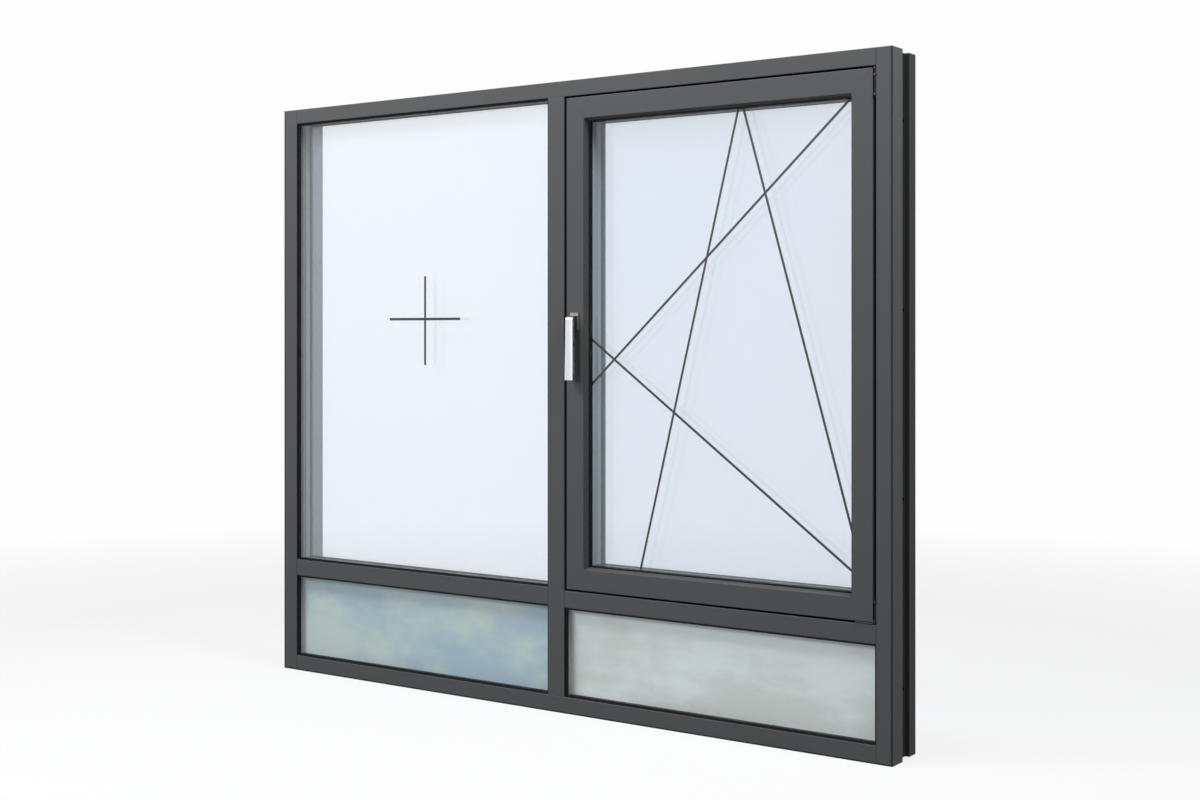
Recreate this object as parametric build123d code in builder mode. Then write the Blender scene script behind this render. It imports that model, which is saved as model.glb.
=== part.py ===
from build123d import *
from dataclasses import dataclass
import os

os.makedirs("parts", exist_ok=True)

# A window unit with two fixed lights on each side of a mullion and one tilt and turn sash, in millimetres.
# X runs to the right seen from the room, Y from the room to the outside and Z up.
# The origin is the middle of the sill's underside, so depths are counted from the room side face.

# Unit and its fields
UNIT_W = 1785.0
UNIT_H = 1500.0
LEFT_FACE = 47.0
RIGHT_FACE = 37.0
HEAD_FACE = 37.0
SILL_FACE = 39.0
MULLION_FACE = 48.0
MULLION_AXIS = 21.0
TRANSOM_LEFT_FACE = 42.0
TRANSOM_LEFT_BASE = 254.0
TRANSOM_RIGHT_FACE = 40.0
TRANSOM_RIGHT_BASE = 251.0

# Frame section, by depth from the room side face
INNER_SHELL_D = 50.0
BREAK_D = 33.0
OUTER_SHELL_D = 31.0
LIP_D = 7.0
REBATE = 14.0
GROOVE_IN = 6.0
OUTER_STEP = 4.0
WALL = 2.0
CAP_T = 2.0
MITRE_GAP = 0.15
SEAT = 0.3

# Glazing
PANE_T = 4.0
CAVITY = 16.0
GLASS_CLEAR = 4.5
SPACER_H = 12.0
GASKET_PROUD = 5.0
GASKET_FOOT = 8.0
GASKET_NOSE = 1.5
GASKET_STEP = 5.0
GASKET_T = 4.0
BEAD_BACK = 2.0
BEAD_FALL = 0.17
DRAIN_L = 30.0
DRAIN_H = 5.0
DRAIN_IN = 120.0
DRAIN_UP = 6.0

# Sash
GAP_SIDE = 7.0
GAP_END = 5.0
SASH_FACE = 50.0
SASH_LIP_D = 12.0
SASH_SET_IN = 12.0
BEVEL_W = 4.0
BEVEL_D = 13.0
SASH_LAND_D = 2.0
SASH_GASKET_D = 10.0
SASH_GASKET_PROUD = 3.5
SASH_BREAK_D = 24.0
SASH_OUTER_D = 20.0
STOP_GAP = 6.0
STOP_LAP = 8.0
SEAL_W = 5.0
SEAL_FREE = 0.7

# Hinge side, where the turning and the tilting axis meet in the lower corner
PIVOT_OFFSET = 5.0
PIN_D = 2.4
PIN_FIT = 0.1
PIN_BEND = 3.0
SHOE_L = 40.0
KNUCKLE_H = 5.0
BEARING_D = 62.0
BEARING_T = 2.6
BEARING_H = 46.0

# Stay arm and the rail that it runs in
ARM_L = 350.0
ARM_W = 14.0
ARM_T = 3.0
ARM_BACK = 22.0
ARM_ROOT_IN = 8.0
ARM_PIN_D = 4.0
LINK_T = 3.0
RAIL_W = 14.0
RAIL_H = 7.0
RAIL_WALL = 1.5
RAIL_L = 90.0
RAIL_BACK = 30.0
HEAD_CLEAR = 3.0

# Locking
CAM_D = 10.0
CAM_NECK_D = 6.0
CAM_OUT = 7.0
CAM_DEPTH = 32.0
CAM_HEIGHTS = (130.0, 610.0, 1070.0)
KEEP_H = 60.0
KEEP_W = 20.0
KEEP_T = 4.0

# Handle
HANDLE_AXIS_Z = 930.0
HANDLE_BASE_W = 24.0
HANDLE_BASE_H = 40.0
HANDLE_BASE_T = 4.8
HUB_D = 16.0
HUB_IN = 4.0
NECK_H = 31.0
ELBOW_R = 12.0
ELBOW_IN_R = 4.0
LEVER_TOP = 12.5
LEVER_L = 151.0
LEVER_OUT = 26.5
LEVER_T = 12.0
LEVER_LEAN = 2.0
LEVER_W_TOP = 20.0
LEVER_W_END = 23.0
LEVER_FLAT_W = 11.0
LEVER_BEVEL_D = 2.0

# Holes for the frame anchors
ANCHOR_D = 8.0
ANCHOR_OUTER_PITCH = 1200.0
ANCHOR_INNER_PITCH = 400.0

# Worked out from the sizes above
FACE_Y = -INNER_SHELL_D / 2
UNIT_D = INNER_SHELL_D + BREAK_D + OUTER_SHELL_D
OUTER_FROM = INNER_SHELL_D + BREAK_D
GLASS_FROM = LIP_D + GASKET_T
GLASS_D = 3 * PANE_T + 2 * CAVITY
GLASS_IN = REBATE - GLASS_CLEAR
SASH_LIGHT_IN = SASH_FACE + BEVEL_W
SASH_GLASS_FROM = BEVEL_D + SASH_LAND_D + SASH_GASKET_D
SASH_D = INNER_SHELL_D + SASH_BREAK_D + SASH_OUTER_D
STOP_FROM = SASH_D + STOP_GAP
ANCHOR_HEIGHTS = [
    UNIT_H / 2 + sign * pitch / 2
    for pitch in (ANCHOR_OUTER_PITCH, ANCHOR_INNER_PITCH)
    for sign in (-1, 1)
]


@dataclass
class Field:
    """An upright rectangle in the plane of the window."""

    left: float
    right: float
    low: float
    high: float

    def grown(self, by):
        """The same rectangle with every side moved outwards."""
        return Field(self.left - by, self.right + by, self.low - by, self.high + by)

    def centre(self):
        return ((self.left + self.right) / 2, (self.low + self.high) / 2)

    def width(self):
        return self.right - self.left

    def height(self):
        return self.high - self.low

    def edge(self, side):
        """Where the named side lies, and the span that a bar along it covers."""
        if side in ("left", "right"):
            return getattr(self, side), self.low, self.high
        if side == "bottom":
            return self.low, self.left, self.right
        return self.high, self.left, self.right


UNIT = Field(-UNIT_W / 2, UNIT_W / 2, 0, UNIT_H)
MULLION_LEFT = MULLION_AXIS - MULLION_FACE / 2
MULLION_RIGHT = MULLION_AXIS + MULLION_FACE / 2
INSIDE = Field(UNIT.left + LEFT_FACE, UNIT.right - RIGHT_FACE, SILL_FACE, UNIT_H - HEAD_FACE)
TRANSOM_LEFT_TOP = TRANSOM_LEFT_BASE + TRANSOM_LEFT_FACE
TRANSOM_RIGHT_TOP = TRANSOM_RIGHT_BASE + TRANSOM_RIGHT_FACE

LIGHTS = {
    "upper_left": Field(INSIDE.left, MULLION_LEFT, TRANSOM_LEFT_TOP, INSIDE.high),
    "lower_left": Field(INSIDE.left, MULLION_LEFT, INSIDE.low, TRANSOM_LEFT_BASE),
    "lower_right": Field(MULLION_RIGHT, INSIDE.right, INSIDE.low, TRANSOM_RIGHT_BASE),
}
VENT = Field(MULLION_RIGHT, INSIDE.right, TRANSOM_RIGHT_TOP, INSIDE.high)
SASH = Field(VENT.left + GAP_SIDE, VENT.right - GAP_SIDE, VENT.low + GAP_END, VENT.high - GAP_END)
SASH_LIGHT = SASH.grown(-SASH_LIGHT_IN)
STOP_LIGHT = SASH.grown(-SASH_SET_IN - STOP_LAP)
SIDES = ("left", "right", "bottom", "top")

TURN_X = SASH.right + PIVOT_OFFSET
TILT_Z = VENT.low + GAP_END / 2


def save(builder, name):
    """Label a finished piece and write it to its own file."""
    builder.part.label = name
    export_step(builder.part, "parts/" + name + ".step")


def bar_plane(side, edge, low, high):
    """Section plane of a bar: x runs from its outer edge into the field, y is depth from the room side."""
    if side == "left":
        return Plane(origin=(edge, FACE_Y, low), x_dir=(1, 0, 0), z_dir=(0, 0, 1))
    if side == "right":
        return Plane(origin=(edge, FACE_Y, high), x_dir=(-1, 0, 0), z_dir=(0, 0, -1))
    if side == "bottom":
        return Plane(origin=(high, FACE_Y, edge), x_dir=(0, 0, 1), z_dir=(-1, 0, 0))
    return Plane(origin=(low, FACE_Y, edge), x_dir=(0, 0, -1), z_dir=(1, 0, 0))


def depth_plane(depth):
    """Plane of the window at a depth from the room side face, seen from the room."""
    return Plane.XZ.offset(-(FACE_Y + depth))


def block(x0, x1, y0, y1):
    """A rectangle of the section from corner to corner."""
    with Locations(((x0 + x1) / 2, (y0 + y1) / 2)):
        Rectangle(x1 - x0, y1 - y0)


def hollow():
    """Turn the section into a tube of the wall thickness."""
    offset(amount=-WALL, kind=Kind.INTERSECTION, mode=Mode.SUBTRACT)


def outline(points):
    """A filled section from its corners in order."""
    Polygon(*points, align=None)


def lipped_shell(face, lips):
    """Room side tube of a bar: a full width front part and a web that leaves a rebate beside each lip."""
    web_low = REBATE if "low" in lips else 0
    web_high = face - REBATE
    block(0, face, 0, LIP_D)
    block(web_low, web_high, 0, INNER_SHELL_D)
    hollow()


def outer_shell(face, lips):
    """Outside tube of a bar, as wide as its web, set in along the head and the sill."""
    web_low = 0
    if "cope" in lips:
        web_low = REBATE if "low" in lips else OUTER_STEP
    block(web_low, face - REBATE, OUTER_FROM, UNIT_D)
    hollow()


def break_strips(face, lips):
    """Insulating tube between the two shells, set back from the outer edge as a groove."""
    web_low = REBATE if "low" in lips else GROOVE_IN
    block(web_low, face - REBATE, INNER_SHELL_D, OUTER_FROM)
    hollow()


def frame_bar(side, edge, low, high, face, lips=(), step_low=0, step_high=0):
    """The two shells of a bar, with its ends cut back where the crossing bars' lips pass."""
    length = high - low
    plane = bar_plane(side, edge, low, high)
    with BuildSketch(plane) as inner:
        lipped_shell(face, lips)
    extrude(inner.sketch, amount=length)
    if "cope" in lips:
        for end in (0, length - REBATE):
            with BuildSketch(plane.offset(end)) as cut:
                block(-WALL, face + WALL, -WALL, LIP_D)
            extrude(cut.sketch, amount=REBATE, mode=Mode.SUBTRACT)
    with BuildSketch(plane.offset(step_low)) as outer:
        outer_shell(face, lips)
    extrude(outer.sketch, amount=length - step_low - step_high)


def drain_slots(low, high, web_top):
    """Slots near both ends of a level bar, through the outside wall, that let water out of its tube."""
    with BuildSketch(depth_plane(UNIT_D + WALL)) as slots:
        with Locations((low + DRAIN_IN, web_top - DRAIN_UP), (high - DRAIN_IN, web_top - DRAIN_UP)):
            SlotOverall(DRAIN_L, DRAIN_H)
    extrude(slots.sketch, amount=2 * WALL + SEAT, mode=Mode.SUBTRACT)


def ring(field, outside, inside, front, back):
    """A flat frame round a field, from outside its edge to inside it, between two depths."""
    with BuildSketch(depth_plane(back)) as flat:
        with Locations(field.centre()):
            Rectangle(field.width() + 2 * outside, field.height() + 2 * outside)
            Rectangle(field.width() - 2 * inside, field.height() - 2 * inside, mode=Mode.SUBTRACT)
    extrude(flat.sketch, amount=back - front)


def sheet(field, outside, front, back):
    """A pane that reaches past the field's edge on every side."""
    with BuildSketch(depth_plane(back)) as flat:
        with Locations(field.centre()):
            Rectangle(field.width() + 2 * outside, field.height() + 2 * outside)
    extrude(flat.sketch, amount=back - front)


def mitred_bar(field, side, section, reach, gap=0.0):
    """A bar along one side of a field, its section drawn by a function, cut at 45 degrees at both ends."""
    edge, low, high = field.edge(side)
    with BuildPart(mode=Mode.PRIVATE) as bar:
        with BuildSketch(bar_plane(side, edge, low, high)):
            section()
        extrude(amount=high - low)
        start = low + gap
        end = high - gap
        inward = -reach if side in ("right", "top") else reach
        if side in ("left", "right"):
            corners = [(edge, start), (edge, end), (edge + inward, end - reach), (edge + inward, start + reach)]
        else:
            corners = [(start, edge), (end, edge), (end - reach, edge + inward), (start + reach, edge + inward)]
        with BuildSketch(depth_plane(UNIT_D)):
            outline(corners)
        extrude(amount=UNIT_D, mode=Mode.INTERSECT)
    return bar.part


# Frame bars: the jambs run through, the head and the sill stand between their webs, the mullion between those
WEB_LEFT = INSIDE.left - REBATE
WEB_RIGHT = INSIDE.right + REBATE
WEB_LOW = INSIDE.low - REBATE
WEB_HIGH = INSIDE.high + REBATE
POST_LEFT = MULLION_LEFT + REBATE
POST_RIGHT = MULLION_RIGHT - REBATE

BARS = {
    "jamb_left": ("left", UNIT.left, 0, UNIT_H, LEFT_FACE, ()),
    "jamb_right": ("right", UNIT.right, 0, UNIT_H, RIGHT_FACE, ()),
    "head": ("top", UNIT_H, WEB_LEFT, WEB_RIGHT, HEAD_FACE, ("cope",)),
    "sill": ("bottom", 0, WEB_LEFT, WEB_RIGHT, SILL_FACE, ("cope",)),
    "mullion": ("left", MULLION_LEFT, WEB_LOW, WEB_HIGH, MULLION_FACE, ("cope", "low")),
    "transom_left": ("bottom", TRANSOM_LEFT_BASE, WEB_LEFT, POST_LEFT, TRANSOM_LEFT_FACE, ("cope", "low")),
    "transom_right": ("bottom", TRANSOM_RIGHT_BASE, POST_RIGHT, WEB_RIGHT, TRANSOM_RIGHT_FACE, ("cope", "low")),
}

for name, (side, edge, low, high, face, lips) in BARS.items():
    step = OUTER_STEP if name in ("jamb_left", "jamb_right") else 0
    with BuildPart() as bar:
        frame_bar(side, edge, low, high, face, lips, step, step)
        if side == "bottom":
            drain_slots(low, high, edge + face - REBATE)
    save(bar, name)

with BuildPart() as frame_thermal_breaks:
    for side, edge, low, high, face, lips in BARS.values():
        length = high - low
        inset = SEAT if lips else GROOVE_IN
        with BuildSketch(bar_plane(side, edge, low, high).offset(inset)):
            break_strips(face, lips)
        extrude(amount=length - 2 * inset)
    for side, face in (("left", LEFT_FACE), ("right", RIGHT_FACE)):
        with BuildSketch(Plane.YZ.offset(UNIT.edge(side)[0])):
            for height in ANCHOR_HEIGHTS:
                with Locations((FACE_Y + INNER_SHELL_D + BREAK_D / 2, height)):
                    Circle(ANCHOR_D / 2)
        extrude(amount=face, both=True, mode=Mode.SUBTRACT)
save(frame_thermal_breaks, "frame_thermal_breaks")

# Caps close the ends of the three tubes of each jamb: room side, insulating and outside
CAP_IN = WALL + SEAT
CAPPED_TUBES = (
    (0, 0, 0, INNER_SHELL_D),
    (GROOVE_IN, GROOVE_IN, INNER_SHELL_D, OUTER_FROM),
    (OUTER_STEP, 0, OUTER_FROM, UNIT_D),
)
with BuildPart() as jamb_end_caps:
    for side, face in (("left", LEFT_FACE), ("right", RIGHT_FACE)):
        edge = UNIT.edge(side)[0]
        for start, outer, front, back in CAPPED_TUBES:
            for low in (start + SEAT, UNIT_H - start - SEAT - CAP_T):
                with BuildSketch(bar_plane(side, edge, low, low + CAP_T)):
                    block(outer + CAP_IN, face - REBATE - CAP_IN, front + CAP_IN, back - CAP_IN)
                    if front == 0:
                        block(CAP_IN, face - CAP_IN, CAP_IN, LIP_D - CAP_IN)
                extrude(amount=CAP_T)
save(jamb_end_caps, "jamb_end_caps")


# Fixed lights: three panes and two spacers, held between gaskets by beads on the outside
def glass_unit(field, front):
    """Three panes of an insulating unit, with the cavities between them free."""
    for count in range(3):
        face = front + count * (PANE_T + CAVITY)
        sheet(field, GLASS_IN, face, face + PANE_T)


def spacer_frames(field, front):
    """A spacer frame in each cavity, its inner face just past the gaskets' edge."""
    for count in range(2):
        face = front + PANE_T + count * (PANE_T + CAVITY)
        ring(field, GLASS_IN, SPACER_H - GLASS_IN, face, face + CAVITY)


def bead_section(width, front, back):
    """Outside glazing bead: a tube whose visible face falls away from the glass, to shed the rain."""
    outline([(0, front), (width, front), (width - (back - front) * BEAD_FALL, back), (0, back)])
    hollow()


for place, light in LIGHTS.items():
    with BuildPart() as glass:
        glass_unit(light, GLASS_FROM)
    save(glass, "glass_" + place)

    with BuildPart() as spacers:
        spacer_frames(light, GLASS_FROM)
    save(spacers, "spacers_" + place)

    with BuildPart() as gaskets:
        ring(light, 0, GASKET_NOSE, GASKET_NOSE, GASKET_STEP)
        ring(light, 0, GASKET_PROUD, GASKET_STEP, GLASS_FROM)
        ring(light, GASKET_FOOT, 0, LIP_D, GLASS_FROM)
        ring(light, GASKET_FOOT, GASKET_PROUD, GLASS_FROM + GLASS_D, GLASS_FROM + GLASS_D + GASKET_T)
    save(gaskets, "gaskets_" + place)

    bead_front = GLASS_FROM + GLASS_D + GASKET_T
    with BuildPart() as beads:
        for side in SIDES:
            add(mitred_bar(
                light.grown(REBATE),
                side,
                lambda: bead_section(REBATE, bead_front, UNIT_D - BEAD_BACK),
                REBATE,
                MITRE_GAP,
            ))
    save(beads, "beads_" + place)


# Opening field: an insulating insert in the rebate and a metal stop that the sash closes against
def insert_section():
    block(0, REBATE, LIP_D, OUTER_FROM)
    hollow()


def stop_section(leg):
    outline([
        (0, OUTER_FROM),
        (REBATE, OUTER_FROM),
        (REBATE, STOP_FROM),
        (leg, STOP_FROM),
        (leg, UNIT_D - BEAD_BACK),
        (0, UNIT_D - BEAD_BACK),
    ])
    hollow()


with BuildPart() as vent_insert:
    for side in SIDES:
        add(mitred_bar(VENT.grown(REBATE), side, insert_section, REBATE, MITRE_GAP))
save(vent_insert, "vent_insert")

with BuildPart() as vent_stop:
    for side in SIDES:
        gap = GAP_SIDE if side in ("left", "right") else GAP_END
        leg = REBATE + gap + SASH_SET_IN + STOP_LAP
        add(mitred_bar(VENT.grown(REBATE), side, lambda: stop_section(leg), leg, MITRE_GAP))
save(vent_stop, "vent_stop")

with BuildPart() as vent_seal:
    ring(STOP_LIGHT, SEAL_W + GASKET_NOSE, -GASKET_NOSE, SASH_D + SEAL_FREE, STOP_FROM)
save(vent_seal, "vent_seal")


# Sash bars with their bevelled edge towards the glass
SASH_WEB = SASH_LIGHT_IN - REBATE


def sash_inner_section():
    outline([
        (0, 0),
        (SASH_FACE, 0),
        (SASH_LIGHT_IN, BEVEL_D),
        (SASH_LIGHT_IN, BEVEL_D + SASH_LAND_D),
        (SASH_WEB, BEVEL_D + SASH_LAND_D),
        (SASH_WEB, INNER_SHELL_D),
        (SASH_SET_IN, INNER_SHELL_D),
        (SASH_SET_IN, SASH_LIP_D),
        (0, SASH_LIP_D),
    ])
    hollow()


def sash_outer_section():
    block(SASH_SET_IN, SASH_WEB, INNER_SHELL_D + SASH_BREAK_D, SASH_D)
    hollow()


def sash_break_section():
    block(SASH_SET_IN + WALL, SASH_WEB - WALL, INNER_SHELL_D, INNER_SHELL_D + SASH_BREAK_D)
    hollow()


SASH_BARS = {
    "sash_stile_handle": "left",
    "sash_stile_hinge": "right",
    "sash_rail_bottom": "bottom",
    "sash_rail_top": "top",
}

for name, side in SASH_BARS.items():
    with BuildPart() as bar:
        add(mitred_bar(SASH, side, sash_inner_section, SASH_LIGHT_IN))
        add(mitred_bar(SASH, side, sash_outer_section, SASH_LIGHT_IN))
    save(bar, name)

with BuildPart() as sash_thermal_breaks:
    for side in SIDES:
        add(mitred_bar(SASH, side, sash_break_section, SASH_LIGHT_IN, MITRE_GAP))
save(sash_thermal_breaks, "sash_thermal_breaks")

with BuildPart() as sash_glass:
    glass_unit(SASH_LIGHT, SASH_GLASS_FROM)
save(sash_glass, "sash_glass")

with BuildPart() as sash_spacers:
    spacer_frames(SASH_LIGHT, SASH_GLASS_FROM)
save(sash_spacers, "sash_spacers")

SASH_GLASS_BACK = SASH_GLASS_FROM + GLASS_D
with BuildPart() as sash_gaskets:
    ring(SASH_LIGHT, GASKET_FOOT, SASH_GASKET_PROUD, BEVEL_D + SASH_LAND_D, SASH_GLASS_FROM)
    ring(SASH_LIGHT, GASKET_FOOT, SASH_GASKET_PROUD, SASH_GLASS_BACK, SASH_GLASS_BACK + GASKET_T)
save(sash_gaskets, "sash_gaskets")

with BuildPart() as sash_beads:
    for side in SIDES:
        add(mitred_bar(
            SASH_LIGHT.grown(REBATE),
            side,
            lambda: bead_section(REBATE, SASH_GLASS_BACK + GASKET_T, SASH_D),
            REBATE,
            MITRE_GAP,
        ))
save(sash_beads, "sash_beads")


# Locking cams on the edge of the handle stile, and their keeps on the insert
CAM_FACE = SASH.left + SASH_SET_IN
with BuildPart() as locking_cams:
    for height in CAM_HEIGHTS:
        with BuildSketch(Plane.YZ.offset(CAM_FACE)):
            with Locations((FACE_Y + CAM_DEPTH, SASH.low + height)):
                Circle(CAM_NECK_D / 2)
        extrude(amount=-CAM_OUT)
        with BuildSketch(Plane.YZ.offset(CAM_FACE - CAM_OUT)):
            with Locations((FACE_Y + CAM_DEPTH, SASH.low + height)):
                Circle(CAM_D / 2)
        extrude(amount=WALL)
save(locking_cams, "locking_cams")

with BuildPart() as lock_keeps:
    for height in CAM_HEIGHTS:
        with BuildSketch(Plane.YZ.offset(VENT.left)):
            with Locations((FACE_Y + CAM_DEPTH, SASH.low + height)):
                Rectangle(KEEP_W, KEEP_H)
        extrude(amount=KEEP_T)
    fillet(lock_keeps.edges().filter_by(Axis.X), WALL)
save(lock_keeps, "lock_keeps")


# Hinges: pins stand on the turning axis in the gap beside the sash, in bearings fixed to the insert
def bearing(low):
    """A plate on the insert with two fingers that reach forward through the gap and hold the pin."""
    side = VENT.right
    with BuildSketch(Plane.XY.offset(low)) as plate:
        with Locations((side - BEARING_T / 2, FACE_Y + (LIP_D + BEARING_D) / 2)):
            Rectangle(BEARING_T, BEARING_D - LIP_D)
    extrude(plate.sketch, amount=BEARING_H)
    for base in (low, low + BEARING_H - KNUCKLE_H):
        with BuildSketch(Plane.XY.offset(base)) as finger:
            with Locations(((side - SEAT + TURN_X - BEARING_T) / 2, FACE_Y + (LIP_D + BEARING_T - PIN_D) / 2)):
                Rectangle(side - SEAT - TURN_X + BEARING_T, LIP_D + BEARING_T + PIN_D)
            with Locations((TURN_X, FACE_Y)):
                Circle(PIN_D / 2 + PIN_FIT, mode=Mode.SUBTRACT)
        extrude(finger.sketch, amount=KNUCKLE_H)


LOWER_BEARING = VENT.low + GAP_END + SEAT
UPPER_BEARING = SASH.high - BEARING_H - SASH_SET_IN
with BuildPart() as hinge_bearings:
    bearing(LOWER_BEARING)
    bearing(UPPER_BEARING)
save(hinge_bearings, "hinge_bearings")


# Lower hinge pin: bent from an upright leg on the turning axis to a level leg on the tilting axis
with BuildPart() as lower_hinge_pin:
    with BuildLine() as pin_path:
        FilletPolyline(
            (TURN_X, FACE_Y, LOWER_BEARING + BEARING_H + PIN_D),
            (TURN_X, FACE_Y, TILT_Z),
            (SASH.right - SHOE_L, FACE_Y, TILT_Z),
            radius=PIN_BEND,
        )
    with BuildSketch(Plane.XY.offset(LOWER_BEARING + BEARING_H + PIN_D)):
        with Locations((TURN_X, FACE_Y)):
            Circle(PIN_D / 2)
    sweep(path=pin_path.line)
save(lower_hinge_pin, "lower_hinge_pin")

# Shoe under the sash's corner, round the level leg
SHOE_H = GAP_END - 2 * SEAT
with BuildPart() as hinge_shoe:
    with BuildSketch(Plane.YZ.offset(SASH.right - SEAT)):
        with Locations((FACE_Y + SASH_LIP_D / 2, TILT_Z)):
            SlotOverall(SASH_LIP_D + SHOE_H, SHOE_H)
        with Locations((FACE_Y, TILT_Z)):
            Circle(PIN_D / 2 + PIN_FIT, mode=Mode.SUBTRACT)
    extrude(amount=-SHOE_L)
save(hinge_shoe, "hinge_shoe")

# Upper hinge link: a pin on the turning axis and a plate that reaches behind the lip to the stay arm
ARM_TOP = VENT.high - HEAD_CLEAR - LINK_T - SEAT
ARM_ROOT = (TURN_X - ARM_ROOT_IN, FACE_Y + ARM_BACK)
ARM_END = (ARM_ROOT[0] - ARM_L, ARM_ROOT[1])
with BuildPart() as upper_hinge_link:
    with BuildSketch(Plane.XY.offset(UPPER_BEARING - PIN_D)):
        with Locations((TURN_X, FACE_Y)):
            Circle(PIN_D / 2)
    extrude(amount=VENT.high - HEAD_CLEAR - UPPER_BEARING + PIN_D)
    with BuildSketch(Plane.XY.offset(VENT.high - HEAD_CLEAR - LINK_T)):
        with Locations((TURN_X - PIN_D / 2, FACE_Y + ARM_BACK / 2)):
            Rectangle(2 * PIN_D, ARM_BACK + PIN_D)
        with Locations(((TURN_X + ARM_ROOT[0]) / 2, ARM_ROOT[1])):
            Rectangle(ARM_ROOT_IN, ARM_W - WALL)
        with Locations(ARM_ROOT):
            Circle(ARM_W / 2 - WALL / 2)
    extrude(amount=LINK_T)
    with BuildSketch(Plane.XY.offset(ARM_TOP - ARM_T - SEAT)):
        with Locations(ARM_ROOT):
            Circle(ARM_PIN_D / 2)
    extrude(amount=ARM_T + 2 * SEAT)
save(upper_hinge_link, "upper_hinge_link")

# Stay arm over the sash's top rail, with a guide pin at its free end
RAIL_BASE = SASH.high - SASH_SET_IN + SEAT
with BuildPart() as stay_arm:
    with BuildSketch(Plane.XY.offset(ARM_TOP - ARM_T)):
        with Locations(((ARM_ROOT[0] + ARM_END[0]) / 2, ARM_ROOT[1])):
            SlotCenterToCenter(ARM_L, ARM_W)
        with Locations(ARM_ROOT):
            Circle(ARM_PIN_D / 2 + PIN_FIT, mode=Mode.SUBTRACT)
    extrude(amount=ARM_T)
    with BuildSketch(Plane.XY.offset(RAIL_BASE + RAIL_WALL + SEAT)):
        with Locations(ARM_END):
            Circle(ARM_PIN_D / 2)
    extrude(amount=ARM_TOP - ARM_T - RAIL_BASE - RAIL_WALL - SEAT)
save(stay_arm, "stay_arm")

# Rail on the sash's top edge, a channel open at the top for the guide pin
with BuildPart() as stay_rail:
    with BuildSketch(Plane.YZ.offset(ARM_END[0] - RAIL_BACK)):
        with Locations((ARM_END[1], RAIL_BASE + RAIL_H / 2)):
            Rectangle(RAIL_W, RAIL_H)
            with Locations((0, RAIL_WALL / 2)):
                Rectangle(RAIL_W - 2 * RAIL_WALL, RAIL_H - RAIL_WALL, mode=Mode.SUBTRACT)
    extrude(amount=RAIL_L)
save(stay_rail, "stay_rail")


# Handle on the left stile: a thin base, and a lever that bends down from its neck and turns in the base
HANDLE_X = SASH.left + SASH_FACE / 2
HANDLE_PLACE = (HANDLE_X, HANDLE_AXIS_Z)
with BuildPart() as handle_base:
    with BuildSketch(depth_plane(-SEAT)):
        with Locations(HANDLE_PLACE):
            RectangleRounded(HANDLE_BASE_W, HANDLE_BASE_H, WALL / 2)
            Circle(HUB_D / 2 + SEAT, mode=Mode.SUBTRACT)
    extrude(amount=HANDLE_BASE_T)
save(handle_base, "handle_base")

NECK_FROM = FACE_Y - HANDLE_BASE_T - 2 * SEAT
LEVER_FRONT = FACE_Y - LEVER_OUT
LEVER_HIGH = HANDLE_AXIS_Z + LEVER_TOP
LEVER_LOW = LEVER_HIGH - LEVER_L
with BuildPart() as handle_lever:
    with BuildSketch(Plane.YZ.offset(HANDLE_X)):
        outline([
            (NECK_FROM, LEVER_HIGH),
            (LEVER_FRONT, LEVER_HIGH),
            (LEVER_FRONT - LEVER_LEAN, LEVER_LOW),
            (LEVER_FRONT - LEVER_LEAN + LEVER_T, LEVER_LOW),
            (LEVER_FRONT + LEVER_T, LEVER_HIGH - NECK_H),
            (NECK_FROM, LEVER_HIGH - NECK_H),
        ])
    extrude(amount=LEVER_W_END, both=True)
    elbow = (HANDLE_X, LEVER_FRONT, LEVER_HIGH)
    fillet(handle_lever.edges().filter_by(Axis.X).sort_by_distance(elbow)[0], ELBOW_R)
    elbow = (HANDLE_X, LEVER_FRONT + LEVER_T, LEVER_HIGH - NECK_H)
    fillet(handle_lever.edges().filter_by(Axis.X).sort_by_distance(elbow)[0], ELBOW_IN_R)
    with BuildSketch(Plane.XZ.offset(-NECK_FROM)):
        outline([
            (HANDLE_X - LEVER_W_TOP / 2, LEVER_HIGH),
            (HANDLE_X + LEVER_W_TOP / 2, LEVER_HIGH),
            (HANDLE_X + LEVER_W_END / 2, LEVER_LOW),
            (HANDLE_X - LEVER_W_END / 2, LEVER_LOW),
        ])
    extrude(amount=2 * LEVER_OUT, mode=Mode.INTERSECT)
    with BuildSketch(Plane.XY.offset(LEVER_HIGH)):
        outline([
            (HANDLE_X - LEVER_W_END / 2, NECK_FROM),
            (HANDLE_X + LEVER_W_END / 2, NECK_FROM),
            (HANDLE_X + LEVER_W_END / 2, LEVER_FRONT + LEVER_BEVEL_D),
            (HANDLE_X + LEVER_FLAT_W / 2, LEVER_FRONT),
            (HANDLE_X - LEVER_FLAT_W / 2, LEVER_FRONT),
            (HANDLE_X - LEVER_W_END / 2, LEVER_FRONT + LEVER_BEVEL_D),
        ])
    extrude(amount=LEVER_L, dir=(0, -LEVER_LEAN / LEVER_L, -1), mode=Mode.INTERSECT)
    with BuildSketch(Plane.XZ.offset(-NECK_FROM)):
        with Locations(HANDLE_PLACE):
            Circle(HUB_D / 2)
    extrude(amount=-HUB_IN)
save(handle_lever, "handle_lever")
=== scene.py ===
"""Looks of a window unit: fixed lights beside and under a tilt and turn sash, with a lever handle."""

import math

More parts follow.
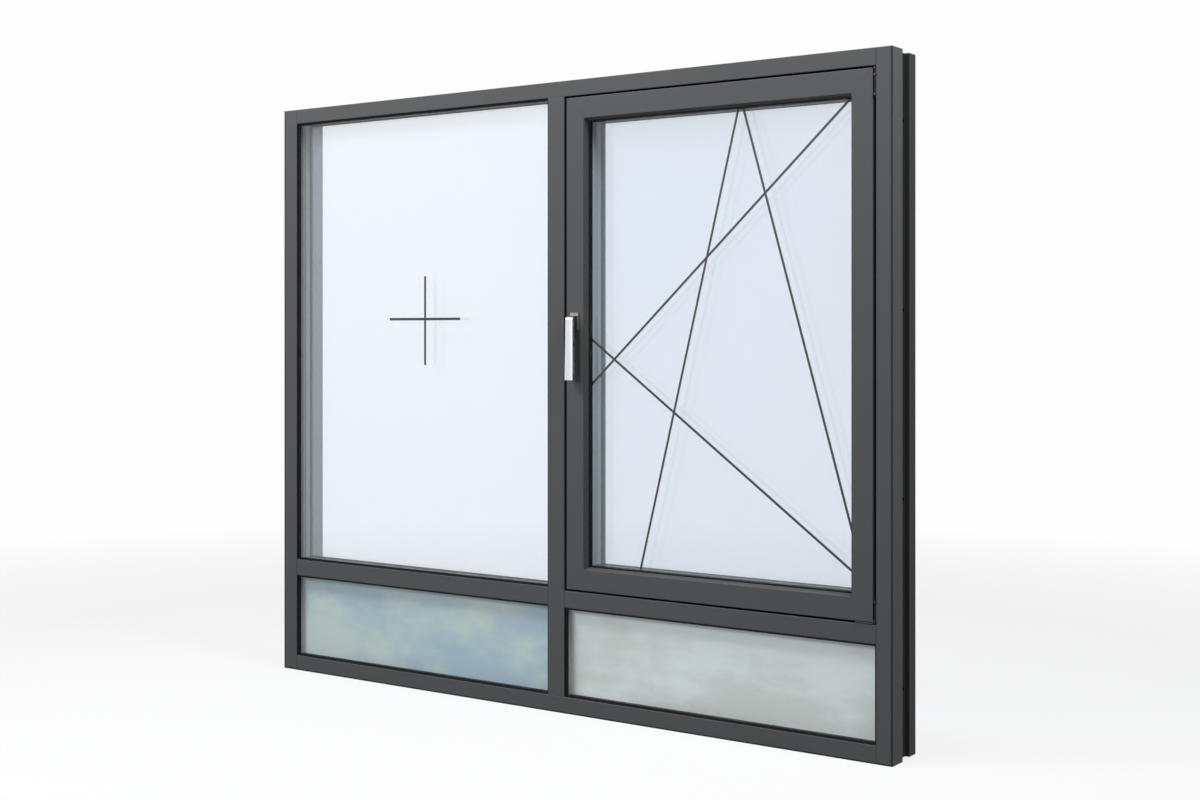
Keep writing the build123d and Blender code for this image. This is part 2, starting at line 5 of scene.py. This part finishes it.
import bpy
import numpy as np
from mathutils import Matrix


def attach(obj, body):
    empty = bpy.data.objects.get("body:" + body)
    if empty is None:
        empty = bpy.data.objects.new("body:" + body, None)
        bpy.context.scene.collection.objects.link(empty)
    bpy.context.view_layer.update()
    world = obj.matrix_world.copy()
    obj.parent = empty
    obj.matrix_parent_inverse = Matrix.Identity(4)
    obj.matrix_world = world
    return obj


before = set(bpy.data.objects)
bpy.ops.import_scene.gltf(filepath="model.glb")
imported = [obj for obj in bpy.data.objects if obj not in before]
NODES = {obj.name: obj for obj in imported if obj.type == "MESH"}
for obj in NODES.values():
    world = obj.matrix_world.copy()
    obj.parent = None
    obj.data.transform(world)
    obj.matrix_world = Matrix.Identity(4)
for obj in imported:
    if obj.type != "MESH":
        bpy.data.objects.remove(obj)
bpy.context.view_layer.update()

MM = 0.001


# Shader maths

class Shade:
    """A socket of a node tree that adds Math nodes when it is used in arithmetic."""

    def __init__(self, tree, socket=None):
        self.tree = tree
        self.socket = socket

    def node(self, kind, settings, values, out=0):
        """A new node: its settings are set first, then each socket gets its value or its link."""
        made = self.tree.nodes.new("ShaderNode" + kind)
        for name, value in settings.items():
            setattr(made, name, value)
        for name, value in values.items():
            if isinstance(value, Shade):
                self.tree.links.new(value.socket, made.inputs[name])
            else:
                made.inputs[name].default_value = value
        return Shade(self.tree, made.outputs[out] if made.outputs else None)

    def math(self, operation, *values):
        return self.node("Math", {"operation": operation}, dict(enumerate(values)))

    def __add__(self, other):
        return self.math("ADD", self, other)

    def __sub__(self, other):
        return self.math("SUBTRACT", self, other)

    def __rsub__(self, other):
        return self.math("SUBTRACT", other, self)

    def __mul__(self, other):
        return self.math("MULTIPLY", self, other)

    def __truediv__(self, other):
        return self.math("DIVIDE", self, other)

    def __abs__(self):
        return self.math("ABSOLUTE", self)

    __radd__ = __add__
    __rmul__ = __mul__

    def larger(self, other):
        return self.math("MAXIMUM", self, other)

    def lesser(self, other):
        return self.math("MINIMUM", self, other)

    def below(self, limit, soft):
        """1 where the value is under the limit and 0 over it, with a straight ramp of the given width."""
        return ((limit - self) / soft + 0.5).larger(0.0).lesser(1.0)

    def place(self):
        """Object coordinates as a vector and as its three parts, in metres."""
        vector = self.node("TexCoord", {}, {}, "Object")
        return (vector, *(self.part(vector, axis) for axis in "XYZ"))

    def part(self, vector, axis):
        return self.node("SeparateXYZ", {}, {"Vector": vector}, axis)

    def facing(self, axis):
        """1 where a face looks straight along an axis of the object or against it, and 0 across it."""
        return abs(self.part(self.node("TexCoord", {}, {}, "Normal"), axis))

    def ray(self, kind):
        """1 for light rays of one kind and 0 for the others."""
        return self.node("LightPath", {}, {}, f"Is {kind} Ray")

    def noise(self, vector, scale, detail=2.0, rough=0.5):
        values = {"Vector": vector, "Scale": scale, "Detail": detail, "Roughness": rough}
        return self.node("TexNoise", {}, values, "Fac")

    def mix(self, amount, first, second):
        """A colour between two colours."""
        return self.node("Mix", {"data_type": "RGBA"}, {0: amount, 6: first, 7: second}, 2)

    def mix_shaders(self, amount, first, second):
        return self.node("MixShader", {}, {0: amount, 1: first, 2: second})

    def bump(self, height, distance, normal):
        values = {"Height": height, "Distance": distance, "Strength": 1.0, "Normal": normal}
        return self.node("Bump", {}, values)

    def soft_edge(self, radius):
        """Normals that are rounded near edges, as paint and anodising leave them."""
        return self.node("Bevel", {"samples": 4}, {"Radius": radius})

    def edges(self, radius):
        """Two masks, for edges that look up and for all others: how far the rounded normal leans. They place
        painted highlight and painted shade.
        """
        rounded = self.soft_edge(radius)
        face = self.node("NewGeometry", {}, {}, "Normal")
        same = self.node("VectorMath", {"operation": "DOT_PRODUCT"}, {0: rounded, 1: face}, "Value")
        lean = ((1.0 - same) * 12.0).lesser(1.0)
        level = self.part(rounded, "Z").below(0.25, 0.2)
        return lean * (1.0 - level), lean * level


def colour(red, green, blue):
    """A linear colour from its 0 to 255 values on the screen."""
    screen = np.array([red, green, blue]) / 255
    linear = np.where(screen <= 0.04045, screen / 12.92, ((screen + 0.055) / 1.055) ** 2.4)
    return (*linear.tolist(), 1.0)


def varied(tone, share=1.0, lift=0.0):
    """The linear colour of a tone whose 0 to 255 values are taken times the share, plus the lift."""
    return colour(*(value * share + lift for value in tone))


def finish(name, paint, *facts):
    """A material whose surface is the shader that paint returns."""
    made = bpy.data.materials.new(name)
    made.use_nodes = True
    made.node_tree.nodes.clear()
    blank = Shade(made.node_tree)
    blank.node("OutputMaterial", {}, {"Surface": paint(blank, *facts)})
    return made


# Powder coat, in metres: the unit's half width and how far its front stands out, the depth from which a
# bar's shell is an outside one, how far the painted edge highlight and shade, the painted shade round the
# unit's outer edges, the plain strip at a mitre and the line at a butt end reach to each side, the radius
# of the rounded shine and the height of the orange peel
HALF_WIDTH = 0.8925
FRONT_DEPTH = 0.025
OUTSIDE_FROM = 0.04
PAINTED_EDGE_REACH = 0.003
OUTER_EDGE_SHADE_REACH = 0.0035
MITRE_STRIP = 0.005
BUTT_LINE = 0.0005
COAT_ROUNDING = 0.0016
PEEL_HEIGHT = 0.00012

# Tones of the painted highlight on edges that look up, and of the painted shade on other edges and round the
# unit's outer edges, which the butt joint lines also take
PAINTED_EDGE_HIGHLIGHT = (138, 141, 145)
PAINTED_SHADE_AND_JOINT_TONE = (24, 24, 25)


def powder_coat(s, tone, outside, butts, field):
    """Satin powder coat: fine orange peel, slight drift of tone, and painted highlight and shade on its edges.

    Edges that look up get a painted highlight and the others painted shade. The outside shells have a deeper
    tone, which is painted shade, and the unit's outer edges get painted shade where the lesser distance to a
    side or to the underside, or the depth where that is more, is small. A butt end shows as a hairline across
    the bar, at its place along the named axis. Where bars are mitred, the painted edge highlight and shade
    don't show: on the diagonals of their field, two of its sides are equally far.
    """
    where, x, depth, z = s.place()
    drift = s.noise(where, scale=2.5, detail=3.0)
    peel = s.noise(where, scale=420.0)
    # The outside shells take the deeper tone, which is painted shade
    out = 1.0 - depth.below(OUTSIDE_FROM, 0.001)
    pale, deep = (s.mix(out, varied(tone, share), varied(outside, share)) for share in (1.03, 0.97))
    # Painted highlight on edges that look up and painted shade on the others; the shade mask also takes the
    # butt joint lines
    light, painted_shade_and_joints = s.edges(PAINTED_EDGE_REACH)
    if field:
        left, right, low, high = field
        over = abs(x - (left + right) / 2) - abs(z - (low + high) / 2) - (right - left - high + low) / 2
        plain = 1.0 - abs(over).below(MITRE_STRIP, 0.001)
        light, painted_shade_and_joints = light * plain, painted_shade_and_joints * plain
    else:
        # Painted shade along the unit's outer sides and underside
        to_side = z.lesser(HALF_WIDTH - abs(x))
        rim = to_side.larger(depth + FRONT_DEPTH).below(OUTER_EDGE_SHADE_REACH, 0.003)
        painted_shade_and_joints = (painted_shade_and_joints * 0.8).larger(rim)
    for axis, place in butts:
        line = abs((x if axis == "X" else z) - place).below(BUTT_LINE, 0.0004)
        painted_shade_and_joints = painted_shade_and_joints.larger(line * 0.6)
    body = s.mix(light * 0.6, s.mix(drift, pale, deep), colour(*PAINTED_EDGE_HIGHLIGHT))
    return s.node("BsdfPrincipled", {}, {
        "Base Color": s.mix(painted_shade_and_joints * 0.8, body, colour(*PAINTED_SHADE_AND_JOINT_TONE)),
        "Roughness": 0.5 + peel * 0.12,
        "Specular IOR Level": 0.1,
        "Normal": s.bump(peel, PEEL_HEIGHT, s.soft_edge(COAT_ROUNDING)),
    })


def rubber(s, tone, rough):
    """Extruded rubber or polyamide: nearly black, dull, with faint lines of dust."""
    where = s.place()[0]
    dust = s.noise(where, scale=60.0, detail=4.0, rough=0.7)
    pores = s.noise(where, scale=900.0)
    return s.node("BsdfPrincipled", {}, {
        "Base Color": s.mix(dust, colour(*tone), varied(tone, lift=9)),
        "Roughness": rough + dust * 0.1,
        "Specular IOR Level": 0.15,
        "Normal": s.bump(pores, 0.05 * MM, s.soft_edge(0.4 * MM)),
    })


# Share of a painted reflection, a pale matt veil that stands in for a bright sky mirrored in the glass, on
# each face of a last pane, depth of the first etched pane face, and a depth that no pane has, for glass
# without a veil
PAINTED_REFLECTION_SHARE = 0.14
ETCHED_FROM = -0.002
NO_DEPTH = 1.0


def see_through(s, glass, tint):
    """Light that only passes on its way to a lamp goes straight through the glass."""
    passing = s.ray("Shadow").larger(s.ray("Diffuse"))
    return s.mix_shaders(passing, glass, s.node("BsdfTransparent", {}, {"Color": tint}))


def clear_glass(s, tint, last):
    """Tinted float glass, with a pale veil on the last pane, from the depth given on: a painted reflection of a
    bright sky.
    """
    glass = s.node("BsdfPrincipled", {}, {
        "Base Color": tint,
        "Roughness": 0.0,
        "IOR": 1.5,
        "Specular IOR Level": 0.3,
        "Transmission Weight": 1.0,
    })
    # Painted reflection: a pale matt layer in place of the sky that the glass mirrors
    veil = s.node("BsdfPrincipled", {}, {
        "Base Color": colour(224, 235, 246),
        "Roughness": 1.0,
        "Specular IOR Level": 0.0,
    })
    behind = 1.0 - s.place()[2].below(last, 0.002)
    return see_through(s, s.mix_shaders(behind * PAINTED_REFLECTION_SHARE, glass, veil), tint)


def satin_glass(s, cool, warm):
    """Insulating glass with a clear front pane and etched panes behind it, in soft clouds of two tones.

    The clouds lie flat: the pattern is drawn out to twice its height along the pane.
    """
    _, x, depth, z = s.place()
    flat = s.node("CombineXYZ", {}, {"X": x * 0.5, "Z": z})
    wide = s.noise(flat, scale=7.0, rough=0.4)
    fine = s.noise(flat, scale=30.0, detail=4.0, rough=0.6)
    clouds = (wide * 0.7 + fine * 0.3).below(0.5, 0.16)
    etched = 1.0 - depth.below(ETCHED_FROM, 0.002)
    milky = s.node("BsdfPrincipled", {}, {
        "Base Color": s.mix(clouds, colour(*warm), colour(*cool)),
        "Roughness": 0.6,
        "Specular IOR Level": 0.2,
    })
    return s.mix_shaders(etched, clear_glass(s, (0.97, 0.985, 0.99, 1.0), NO_DEPTH), milky)


HOLE_PITCH = 0.004


def spacer_bar(s, front, rear, behind):
    """Spacers of the two cavities: matt, with the fine holes that let the drying agent breathe.

    The one behind the given depth has the rear tone: front and rear tones are painted light and shade of one
    spacer. Level ones are black on their wide faces, which is painted shade.
    """
    _, x, depth, z = s.place()
    holes = s.math("SINE", (x + z) * (2 * math.pi / HOLE_PITCH)).below(-0.9, 0.1)
    # Painted shade: level spacers go black on their wide faces
    level = 1.0 - s.facing("Z").below(0.7, 0.1)
    # Front and rear spacers in two tones of one material: painted light and shade
    tone = s.mix(depth.below(behind, 0.001), colour(*rear), colour(*front))
    return s.node("BsdfPrincipled", {}, {
        "Base Color": s.mix((holes * 0.5).larger(level), tone, colour(38, 40, 40)),
        "Roughness": 0.45,
        "Specular IOR Level": 0.3,
    })


def plated_steel(s, tone):
    """Black plated steel with faint brush marks and a duller cast in places."""
    where = s.place()[0]
    cast = s.noise(where, scale=90.0, detail=4.0, rough=0.6)
    return s.node("BsdfPrincipled", {}, {
        "Base Color": s.mix(cast, colour(*tone), varied(tone, share=0.85)),
        "Metallic": 1.0,
        "Roughness": 0.3 + cast * 0.2,
        "Normal": s.bump(cast, 0.03 * MM, s.soft_edge(0.4 * MM)),
    })


def satin_silver(s, tone, flank):
    """Anodised aluminium, brushed along the lever before it was anodised, with painted light and shade: faces
    that look along X take another tone.
    """
    _, x, y, z = s.place()
    # Faces that look along X, which take the painted side tone
    sideways = 1.0 - s.facing("X").below(0.7, 0.2)
    across = s.node("CombineXYZ", {}, {"X": x * 4000.0, "Y": y * 4000.0, "Z": z * 60.0})
    brush = s.noise(across, scale=1.0)
    brushed = s.mix(brush, colour(*tone), varied(tone, share=0.94))
    return s.node("BsdfPrincipled", {}, {
        "Base Color": s.mix(sideways, brushed, colour(*flank)),
        "Metallic": 1.0,
        "Roughness": 0.18 + brush * 0.06,
        "Normal": s.bump(brush, 0.01 * MM, s.soft_edge(0.8 * MM)),
    })


def printed_line(s, tone):
    """Matt ink, slightly uneven."""
    ink = s.noise(s.place()[0], scale=250.0)
    return s.node("BsdfPrincipled", {}, {
        "Base Color": s.mix(ink, colour(*tone), varied(tone, lift=8)),
        "Roughness": 0.6,
    })


# Finishes. Tones are 0 to 255 values on the screen, and tints of glass are linear.

# Mitred field of the sash: its left, right, low and high edges
SASH_FIELD = (0.052, 0.8485, 0.296, 1.458)

# Depths between the last two panes, and between the two spacers
FIXED_LAST_PANE, SASH_LAST_PANE = 0.022, 0.036
FIXED_REAR_SPACER, SASH_REAR_SPACER = 0.008, 0.022

# The room side's coat tone, and the outside shells' deeper tone, which is painted shade
COAT_AND_SHADED_OUTSIDE_TONES = ((83, 84, 85), (54, 55, 56))
COATING = finish("frame_coating", powder_coat, *COAT_AND_SHADED_OUTSIDE_TONES, (), None)
SASH_COATING = finish("sash_coating", powder_coat, *COAT_AND_SHADED_OUTSIDE_TONES, (), SASH_FIELD)
GASKET = finish("gasket_rubber", rubber, (17, 18, 18), 0.6)
STRIP = finish("insulating_polyamide", rubber, (13, 13, 14), 0.7)
GLASS = finish("clear_glass", clear_glass, (0.975, 0.988, 0.998, 1.0), FIXED_LAST_PANE)
SASH_GLASS = finish("clear_sash_glass", clear_glass, (0.94, 0.96, 0.982, 1.0), SASH_LAST_PANE)
SATIN_LEFT = finish("satin_glass_left", satin_glass, (162, 190, 204), (196, 212, 208))
SATIN_RIGHT = finish("satin_glass_right", satin_glass, (232, 240, 240), (212, 218, 212))
# Front and rear spacer tones are painted light and shade of one material
SPACER = finish("spacer", spacer_bar, (158, 172, 174), (196, 212, 218), FIXED_REAR_SPACER)
SASH_SPACER = finish("sash_spacer", spacer_bar, (200, 214, 218), (190, 204, 208), SASH_REAR_SPACER)
PALE_SPACER = finish("pale_spacer", spacer_bar, (176, 178, 174), (198, 198, 198), FIXED_REAR_SPACER)
STEEL = finish("plated_steel", plated_steel, (52, 52, 53))
# The lever's faces that look along X take a darker tone: painted shade
SILVER = finish("satin_silver", satin_silver, (226, 229, 231), (112, 115, 114))
# The base's front takes a darker beige tone than the lever, a painted shade, and its faces that look along X
# take the lever's silver
BASE_SILVER = finish("satin_silver_base", satin_silver, (165, 160, 150), (226, 228, 228))
INK = finish("printed_line", printed_line, (44, 45, 45))

FINISHES = {
    COATING: (
        "jamb_left", "jamb_right",
        "beads_upper_left", "beads_lower_left", "beads_lower_right", "sash_beads", "vent_stop",
    ),
    SASH_COATING: ("sash_stile_handle", "sash_stile_hinge", "sash_rail_bottom", "sash_rail_top"),
    GASKET: ("gaskets_upper_left", "gaskets_lower_left", "gaskets_lower_right", "sash_gaskets", "vent_seal"),
    STRIP: ("frame_thermal_breaks", "sash_thermal_breaks", "vent_insert", "jamb_end_caps"),
    GLASS: ("glass_upper_left",),
    SASH_GLASS: ("sash_glass",),
    SATIN_LEFT: ("glass_lower_left",),
    SATIN_RIGHT: ("glass_lower_right",),
    SPACER: ("spacers_upper_left",),
    SASH_SPACER: ("sash_spacers",),
    PALE_SPACER: ("spacers_lower_left", "spacers_lower_right"),
    STEEL: (
        "hinge_bearings", "lower_hinge_pin", "hinge_shoe", "upper_hinge_link", "stay_arm", "stay_rail",
        "locking_cams", "lock_keeps",
    ),
    SILVER: ("handle_lever",),
    BASE_SILVER: ("handle_base",),
}

# Bars that butt against others, with the places of their ends
BUTT_ENDS = {
    "head": (("X", -0.8455), ("X", 0.8555)),
    "sill": (("X", -0.8455), ("X", 0.8555)),
    "transom_left": (("X", -0.8455), ("X", -0.003)),
    "transom_right": (("X", 0.045), ("X", 0.8555)),
    "mullion": (("Z", 0.039), ("Z", 1.463)),
}
for name, ends in BUTT_ENDS.items():
    FINISHES[finish(name + "_coating", powder_coat, *COAT_AND_SHADED_OUTSIDE_TONES, ends, None)] = (name,)

for material, names in FINISHES.items():
    for name in names:
        NODES[name].data.materials.clear()
        NODES[name].data.materials.append(material)


# New pieces, drawn in millimetres

# Cuts of a line's end, by the part that stays the same along it: X or Z
UPRIGHT, LEVEL = 0, 1


def piece(name, points, faces, body, slot, material):
    """A mesh object at the origin that rides on a body, if one is given, and takes the given material. The slot
    is not used.
    """
    mesh = bpy.data.meshes.new(name)
    mesh.from_pydata(points.tolist(), [], faces)
    mesh.materials.append(material)
    made = bpy.data.objects.new(name, mesh)
    bpy.context.collection.objects.link(made)
    if body:
        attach(made, body)
    return made


def strokes(lines, width, front, step):
    """Flat printed lines on a pane.

    Each line runs from A to B, and each of its long edges lies half the width off it along its normal N.
    An end is cut level or upright: its corner is A + N w/2 - D (w/2)(N_k / D_k), with D the direction
    and k the part that stays the same along the cut, so that the end follows the edge that it meets.
    Every next line stands a little further out, so that crossing lines share no face.
    """
    ends = np.array([(start, end) for start, _, end, _ in lines])
    cuts = np.array([(start_cut, end_cut) for _, start_cut, _, end_cut in lines])
    along = ends[:, 1] - ends[:, 0]
    along = along / np.linalg.norm(along, axis=1, keepdims=True)
    normal = np.stack([-along[:, 1], along[:, 0]], axis=1)
    slant = np.take_along_axis(normal, cuts, 1) / np.take_along_axis(along, cuts, 1)
    sideways = normal[:, None] - along[:, None] * slant[..., None]
    sides = np.array([-1, 1])[:, None] * width / 2

    # Indices of the points: line, front or back, end, side, and X, depth or Z
    points = np.empty((len(lines), 2, 2, 2, 3))
    points[..., ::2] = (ends[:, :, None] + sides * sideways[:, :, None])[:, None]
    points[:, 0, ..., 1] = front - step * np.arange(1, len(lines) + 1)[:, None, None]
    points[:, 1, ..., 1] = front
    quads = np.array([(0, 1, 3, 2), (4, 6, 7, 5), (0, 4, 5, 1), (1, 5, 7, 3), (3, 7, 6, 2), (2, 6, 4, 0)])
    faces = 8 * np.arange(len(lines))[:, None, None] + quads
    return points.reshape(-1, 3) * MM, faces.reshape(-1, 4).tolist()


def reach(start, end, left, right, low, high, sides):
    """The line through two points, made to end on two named edges of a rectangle.

    On an upright edge, Z is the first point's plus the slope times the way along X, and the end is cut
    upright. On a level one, X is the first point's plus the way along Z over the slope, and it is cut level.
    """
    (x0, z0), (x1, z1) = start, end
    slope = (z1 - z0) / (x1 - x0)
    ends = []
    for side in sides:
        if side in ("left", "right"):
            x = left if side == "left" else right
            ends += [(x, z0 + slope * (x - x0)), UPRIGHT]
        else:
            z = low if side == "low" else high
            ends += [(x0 + (z - z0) / slope, z), LEVEL]
    return ends


# Gap between a pane and what is printed on it, and how much further out each next line stands
PRINT_GAP = 0.03
PRINT_STEP = 0.04

# Sight edges of the sash glass, and the opening signs of tilt and turn that are printed on it
SIGHT = (109.5, 791.0, 353.5, 1400.5)
TILT_TURN_LINES = [
    reach((507.7, 1400.5), (245.9, 353.5), *SIGHT, ("high", "low")),
    reach((520.9, 1400.5), (786.2, 486.0), *SIGHT, ("high", "right")),
    reach((791.0, 1407.4), (109.5, 782.9), *SIGHT, ("high", "left")),
    reach((109.5, 885.7), (791.0, 393.4), *SIGHT, ("left", "right")),
]
TILT_TURN_WIDTH = 5.8
SASH_PANE_FRONT = 0.0
OPENING_SIGNS = strokes(TILT_TURN_LINES, TILT_TURN_WIDTH, SASH_PANE_FRONT - PRINT_GAP, PRINT_STEP)
piece("opening_signs", *OPENING_SIGNS, "sash", "gasket", INK)

# The cross of a fixed light on the upper left pane
CROSS_LINES = [
    [(-521.0, 937.5), UPRIGHT, (-285.5, 937.5), UPRIGHT],
    [(-400.8, 821.0), LEVEL, (-400.8, 1046.0), LEVEL],
]
CROSS_WIDTH = 6.5
FIXED_PANE_FRONT = -14.0
FIXED_SIGN = strokes(CROSS_LINES, CROSS_WIDTH, FIXED_PANE_FRONT - PRINT_GAP, PRINT_STEP)
piece("fixed_sign", *FIXED_SIGN, "frame", "gasket", INK)


# Studio, in metres: a pale floor that fades into the white surroundings, soft lamps and the camera

FLOOR_RADIUS = 6.0
FLOOR_DROP = 0.2 * MM
FLOOR_VEIL = 0.22
WHITE = (1.0, 1.0, 1.0, 1.0)
BLACK = (0.0, 0.0, 0.0, 1.0)


def pale_floor(s):
    """Matt white, seen as a thin veil over the white surroundings, that gives back less than half its light."""
    _, x, y, _ = s.place()
    away = s.math("SQRT", x * x + y * y)
    bounce = s.ray("Diffuse")
    return s.node("BsdfPrincipled", {}, {
        "Base Color": s.mix(bounce, (0.88, 0.885, 0.91, 1.0), (0.4, 0.4, 0.4, 1.0)),
        "Roughness": 0.9,
        "Specular IOR Level": 0.0,
        "Emission Color": s.mix(bounce, WHITE, BLACK),
        "Emission Strength": 0.14,
        "Alpha": away.below(3.0, 2.0) * (FLOOR_VEIL + bounce * (1.0 - FLOOR_VEIL)),
    })


def disc(radius, rings, steps, z):
    """A flat disc: rings of equal steps round the origin, each with the radius times its number over all.

    A fan of triangles fills the first ring, and four-sided faces join each ring to the next.
    """
    turn = np.linspace(0, 2 * np.pi, steps, endpoint=False)
    span = radius * np.arange(1, rings + 1)[:, None] / rings
    x, y = span * np.cos(turn), span * np.sin(turn)
    points = np.stack([x, y, np.full_like(x, z)], axis=-1).reshape(-1, 3)
    points = np.vstack([[0, 0, z], points])
    here = np.arange(steps)
    following = (here + 1) % steps
    fan = np.stack([np.zeros_like(here), 1 + here, 1 + following], axis=-1)
    low = 1 + steps * np.arange(rings - 1)[:, None]
    high = low + steps
    bands = np.stack([low + here, high + here, high + following, low + following], axis=-1)
    return points, fan.tolist() + bands.reshape(-1, 4).tolist()


FLOOR = finish("pale_floor", pale_floor)
piece("floor", *disc(FLOOR_RADIUS, 6, 64, -FLOOR_DROP), None, None, FLOOR)


def area_lamp(name, place, target, width, height, power, tint):
    """A lamp that faces a point and isn't seen itself."""
    light = bpy.data.lights.new(name, "AREA")
    light.shape = "RECTANGLE"
    light.size = width
    light.size_y = height
    light.energy = power
    light.color = tint
    lamp = bpy.data.objects.new(name, light)
    bpy.context.collection.objects.link(lamp)
    ahead = np.array(target) - np.array(place)
    lower = math.acos(-ahead[2] / np.linalg.norm(ahead))
    turn = math.atan2(ahead[1], ahead[0]) - math.pi / 2
    lamp.location = place
    lamp.rotation_euler = (lower, 0, turn)
    lamp.visible_camera = False


# Lamps: place, point that each faces, width, height, power in watts and tint
LAMPS = {
    "key": ((-1.0, -1.6, 2.7), (-0.1, 0.0, 0.8), 1.0, 0.8, 42, (0.96, 0.98, 1.0)),
    "front": ((-0.6, -4.2, 2.1), (0.2, 0.0, 0.8), 1.2, 1.0, 62, (1.0, 1.0, 1.0)),
    "side": ((1.8, -0.4, 2.5), (0.85, 0.0, 1.3), 0.8, 0.8, 30, (1.0, 1.0, 1.0)),
}
for name, facts in LAMPS.items():
    area_lamp(name, *facts)

# White surroundings for what is seen, mirrored or seen through glass, and a low fill light for the rest
SURROUNDINGS = (0.985, 0.985, 0.985, 1.0)
FILL = 0.18

world = bpy.data.worlds.new("studio")
world.use_nodes = True
world.node_tree.nodes.clear()
bpy.context.scene.world = world
air = Shade(world.node_tree)
seen = air.ray("Camera").larger(air.ray("Glossy")).larger(air.ray("Transmission"))
strength = seen + (1.0 - seen) * FILL
background = air.node("Background", {}, {"Color": SURROUNDINGS, "Strength": strength})
air.node("OutputWorld", {}, {"Surface": background})

# The camera stands level, so that uprights stay upright, and its shift lowers the frame
lens = bpy.data.cameras.new("camera")
lens.sensor_width = 36.0
lens.lens = 50.0
lens.shift_y = -0.0559
camera = bpy.data.objects.new("camera", lens)
camera.location = (2.394, -3.2048, 0.9024)
camera.rotation_euler = (math.radians(90), 0, math.radians(35.225))
bpy.context.collection.objects.link(camera)
bpy.context.scene.camera = camera
bpy.context.scene.view_settings.view_transform = "Standard"
